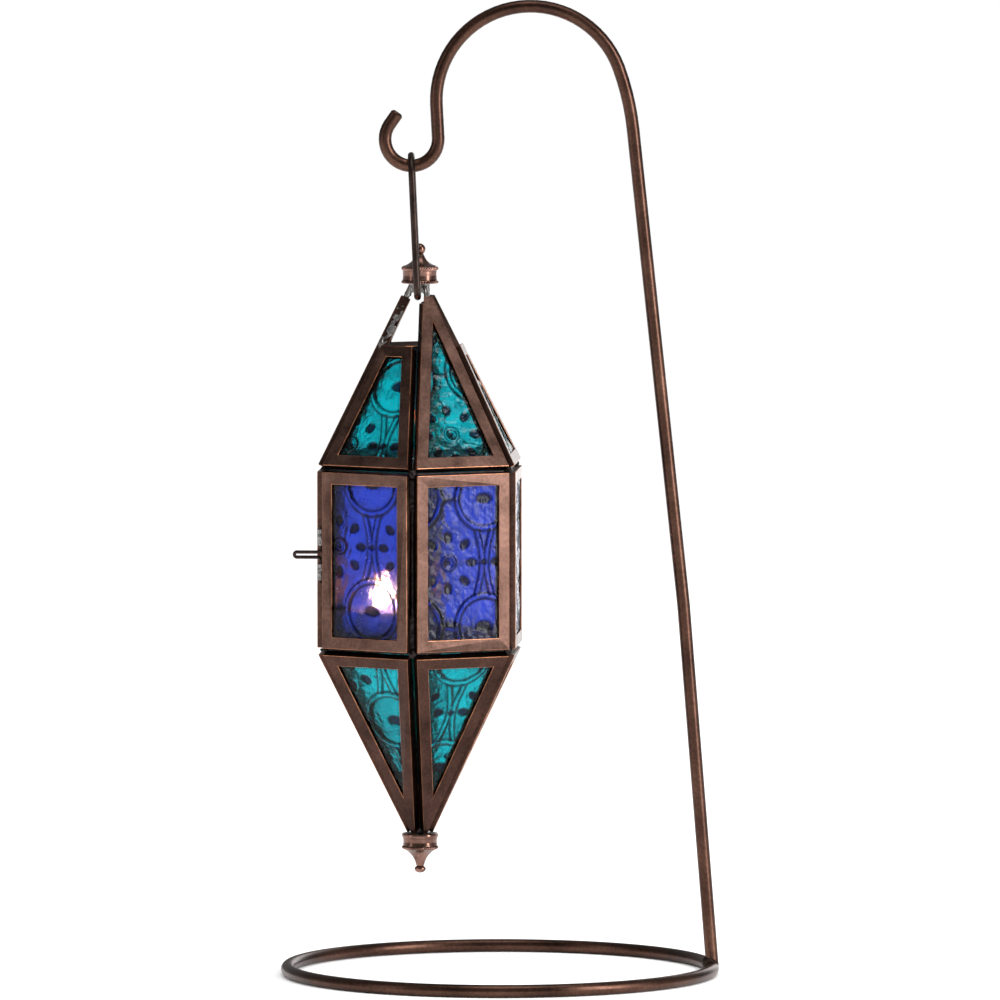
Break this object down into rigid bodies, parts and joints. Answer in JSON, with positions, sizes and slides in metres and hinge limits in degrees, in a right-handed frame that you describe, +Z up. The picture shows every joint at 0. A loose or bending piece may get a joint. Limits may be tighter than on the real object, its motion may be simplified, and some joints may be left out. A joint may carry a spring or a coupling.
{
  "type": "moroccan metal lantern",
  "caption": "Six-sided hanging tea-light lantern of bronze channel frames and coloured pressed glass, on a bent-rod hook stand with a ring base.",
  "frame": {"origin": "centre of the base ring, on the surface it stands on", "axes": "+Z up, +X from the lantern towards the upright, +Y away from the front"},
  "size_m": [0.2151, 0.2152, 0.4788],
  "materials": {
    "bar_bronze": "satin antique bronze",
    "weld_dark": "dark burnt weld",
    "wire_black_bronze": "satin",
    "cap_copper": "polished antique copper",
    "solder": "dull lumpy solder",
    "frame_bronze": "satin antique copper with worn edges",
    "wire_steel": "dark wire",
    "glass_blue": "pressed pattern",
    "glass_teal": "pressed pattern",
    "plate_tin": "dull tinplate",
    "cup_tin": "thin pressed foil",
    "wax": "candle wax",
    "wick": "burnt cotton"
  },
  "bodies": {
    "stand": {"base_ring": "bar_bronze", "hook_rod": "bar_bronze", "weld_bead": "weld_dark"},
    "hanger": {"hanging_ring": "wire_black_bronze"},
    "lantern": {"top_cap": "cap_copper", "top_finial": "cap_copper", "crown_solder": "solder", "bottom_cap": "cap_copper", "bottom_finial": "cap_copper", "foot_solder": "solder", "upper_frame_right": "frame_bronze", "upper_frame_back_right": "frame_bronze", "upper_frame_back_left": "frame_bronze", "upper_frame_left": "frame_bronze", "upper_frame_front_left": "frame_bronze", "upper_frame_front_right": "frame_bronze", "upper_glass_right": "glass_teal", "upper_glass_back_right": "glass_teal", "upper_glass_back_left": "glass_teal", "upper_glass_left": "glass_teal", "upper_glass_front_left": "glass_teal", "upper_glass_front_right": "glass_teal", "middle_frame_right": "frame_bronze", "middle_frame_back_right": "frame_bronze", "middle_frame_back_left": "frame_bronze", "middle_frame_front_left": "frame_bronze", "middle_frame_front_right": "frame_bronze", "middle_glass_right": "glass_blue", "middle_glass_back_right": "glass_blue", "middle_glass_back_left": "glass_blue", "middle_glass_front_left": "glass_blue", "middle_glass_front_right": "glass_blue", "lower_frame_right": "frame_bronze", "lower_frame_back_right": "frame_bronze", "lower_frame_back_left": "frame_bronze", "lower_frame_left": "frame_bronze", "lower_frame_front_left": "frame_bronze", "lower_frame_front_right": "frame_bronze", "lower_glass_right": "glass_teal", "lower_glass_back_right": "glass_teal", "lower_glass_back_left": "glass_teal", "lower_glass_left": "glass_teal", "lower_glass_front_left": "glass_teal", "lower_glass_front_right": "glass_teal", "corner_solder": "solder", "upper_tier_solder": "solder", "lower_tier_solder": "solder", "floor_plate": "plate_tin", "fixed_barrels": "frame_bronze", "hinge_pins": "wire_steel"},
    "door": {"door_frame": "frame_bronze", "door_glass": "glass_blue", "door_barrels": "frame_bronze", "door_pull": "wire_steel", "pull_solder": "solder"},
    "tea_light": {"candle_cup": "cup_tin", "candle_wax": "wax", "candle_wick": "wick"}
  },
  "joints": [
    {"name": "ring_swing", "type": "hinge", "parent": "stand", "child": "hanger", "pos_m": [-0.0432, 0, 0.39758], "axis": [1, 0, 0], "range_deg": [-40, 40]},
    {"name": "lantern_tilt", "type": "hinge", "parent": "hanger", "child": "lantern", "pos_m": [-0.0403, 0, 0.33372], "axis": [0, 1, 0], "range_deg": [-10, 10]},
    {"name": "door_hinge", "type": "hinge", "parent": "lantern", "child": "door", "pos_m": [-0.08493, 0.03056, 0.20612], "axis": [0, 0, -1], "range_deg": [0, 110]},
    {"name": "candle_lift", "type": "slide", "parent": "lantern", "child": "tea_light", "axis": [0, 0, 1], "range_m": [0, 0.012]}
  ]
}
